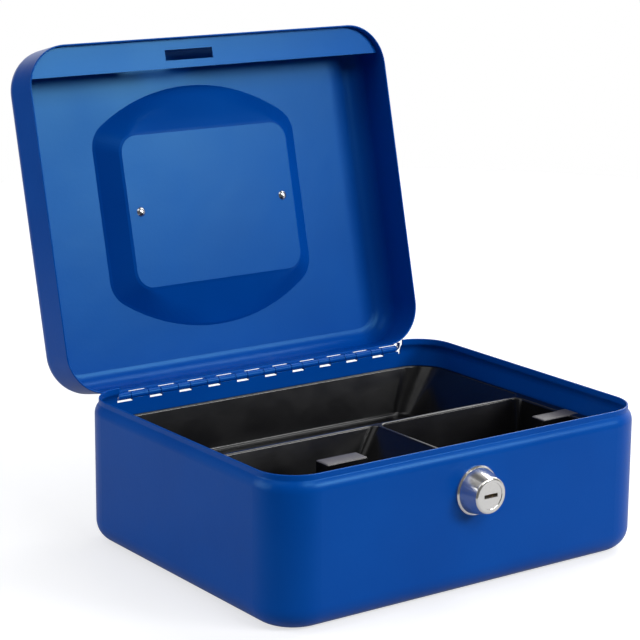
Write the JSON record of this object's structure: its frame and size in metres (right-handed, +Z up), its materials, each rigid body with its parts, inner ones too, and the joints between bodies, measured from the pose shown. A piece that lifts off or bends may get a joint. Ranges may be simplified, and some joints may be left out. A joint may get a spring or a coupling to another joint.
{
  "type": "cash box",
  "caption": "Steel cash box with a hinged lid, cam lock, folding carry handle and lift-out divided coin tray.",
  "frame": {"origin": "centre of the base, on the surface that the box stands on", "axes": "+Z up, +X along the front to the right, +Y to the back; the lid stands open at rest"},
  "size_m": [0.2, 0.2364, 0.2178],
  "materials": {
    "blue_enamel": "semi-gloss powder coat, royal blue",
    "zinc_wire": "bright zinc-plated wire",
    "lock_chrome": "bright chrome plate",
    "wafer_brass": "stamped brass",
    "zinc_steel": "zinc-plated steel",
    "handle_chrome": "bright chrome plate",
    "rivet_steel": "bright nickel-plated rivet",
    "tray_black": "glossy black moulded plastic"
  },
  "bodies": {
    "body": {"body_shell": "blue_enamel", "hinge_pin": "zinc_wire", "lock_barrel": "lock_chrome", "lock_washer": "zinc_steel", "lock_nut": "zinc_steel"},
    "lid": {"lid_shell": "blue_enamel", "catch_strip": "blue_enamel", "handle_post_left": "handle_chrome", "handle_post_right": "handle_chrome", "handle_rivets": "rivet_steel"},
    "handle": {"handle_bail": "handle_chrome"},
    "lock_core": {"lock_plug": "lock_chrome", "lock_wafers": "wafer_brass", "wafer_springs": "zinc_steel", "lock_cam": "zinc_steel", "cam_washer": "zinc_steel", "cam_screw": "zinc_steel"},
    "tray": {"tray": "tray_black"}
  },
  "joints": [
    {"name": "lid_hinge", "type": "hinge", "parent": "body", "child": "lid", "pos_m": [0, 0.082, 0.061], "axis": [1, 0, 0], "range_deg": [0, 103.6]},
    {"name": "handle_fold", "type": "hinge", "parent": "lid", "child": "handle", "pos_m": [0, 0.12606, 0.13553], "axis": [1, 0, 0], "range_deg": [-13.6, 166.4]},
    {"name": "key_turn", "type": "hinge", "parent": "body", "child": "lock_core", "pos_m": [0, -0.0719, 0.0455], "axis": [0, 1, 0], "range_deg": [0, 90]},
    {"name": "tray_lift", "type": "slide", "parent": "body", "child": "tray", "axis": [0, 0, 1], "range_m": [0, 0.02]}
  ]
}
